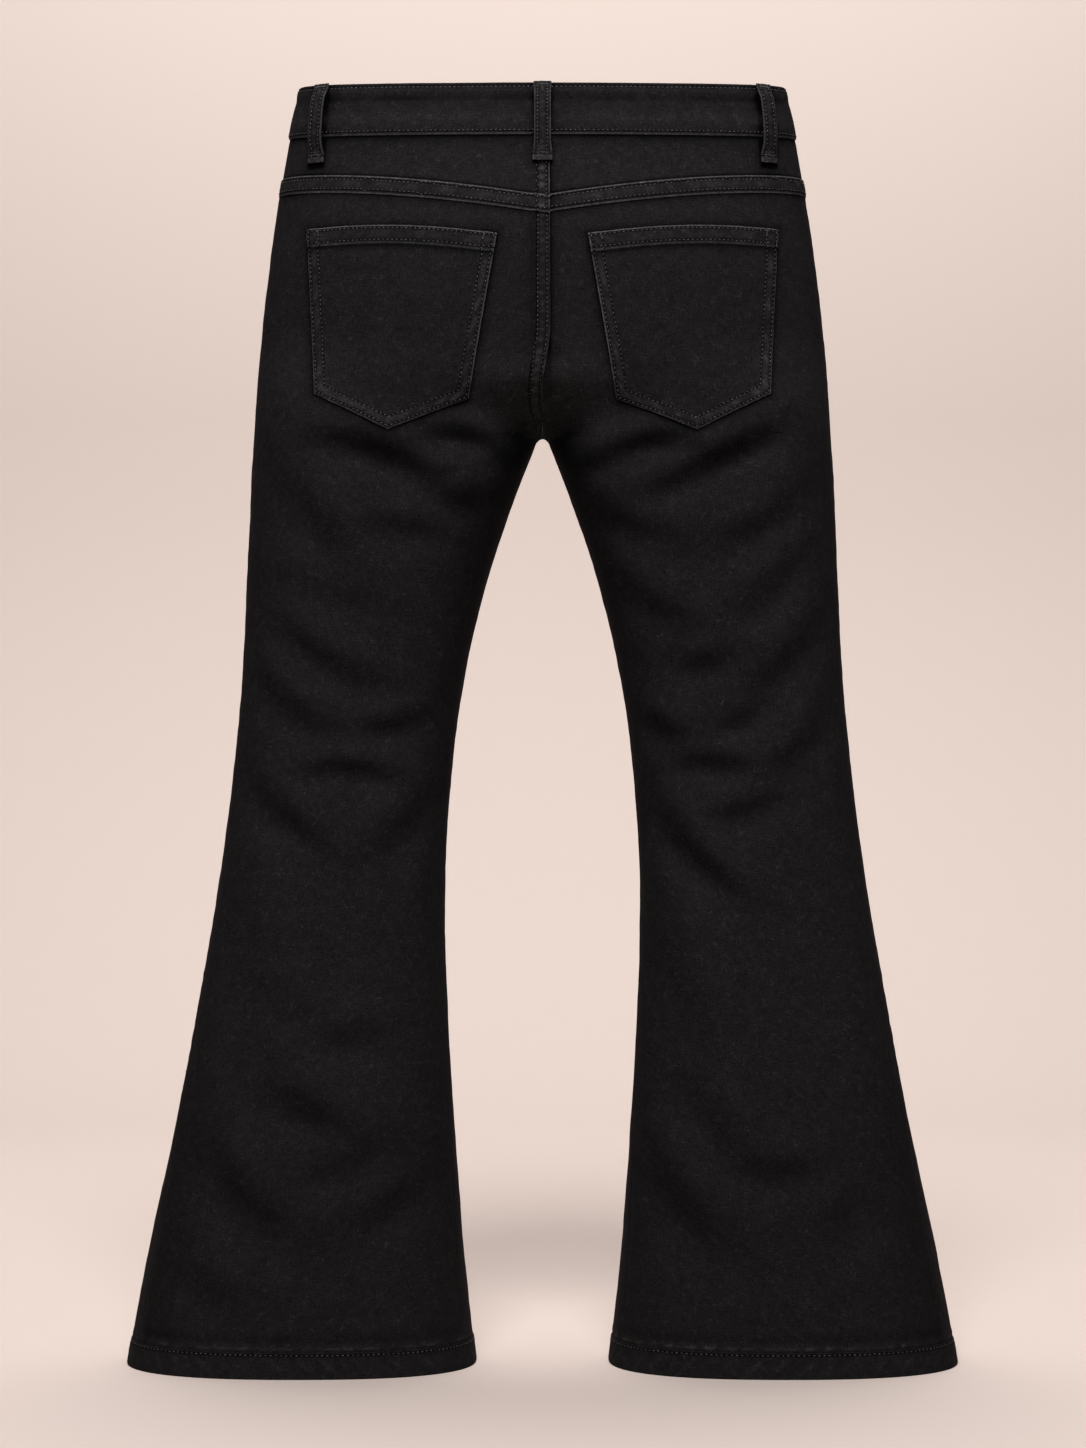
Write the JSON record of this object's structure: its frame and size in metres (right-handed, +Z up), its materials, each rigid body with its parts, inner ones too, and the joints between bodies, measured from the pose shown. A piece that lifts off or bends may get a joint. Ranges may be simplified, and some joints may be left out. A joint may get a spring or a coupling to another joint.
{
  "type": "bootcut jeans",
  "caption": "Black stretch-denim bootcut jeans, filled out and standing on their hems, with patch seat pockets, a yoke, belt loops and a fly.",
  "frame": {"origin": "on the floor, under the middle of the garment's box", "axes": "+Z up from the hems to the waist, +Y towards the fly, +X towards the wearer's right"},
  "size_m": [0.6486, 0.1882, 0.9923],
  "materials": {
    "denim": "matte, near-black, slightly warm",
    "zip_tape": "matte",
    "metal": "satin black"
  },
  "bodies": {
    "root": {"waistband": "denim", "yoke_left": "denim", "yoke_right": "denim", "back_left": "denim", "back_right": "denim", "front_left": "denim", "front_right": "denim", "back_pocket_left": "denim", "back_pocket_right": "denim", "front_pocket_left": "denim", "front_pocket_right": "denim", "hem_left": "denim", "hem_right": "denim", "belt_loop_centre_back": "denim", "belt_loop_back_left": "denim", "belt_loop_back_right": "denim", "belt_loop_front_left": "denim", "belt_loop_front_right": "denim", "fly_shield": "denim", "zip": "zip_tape", "button": "metal"}
  },
  "joints": []
}
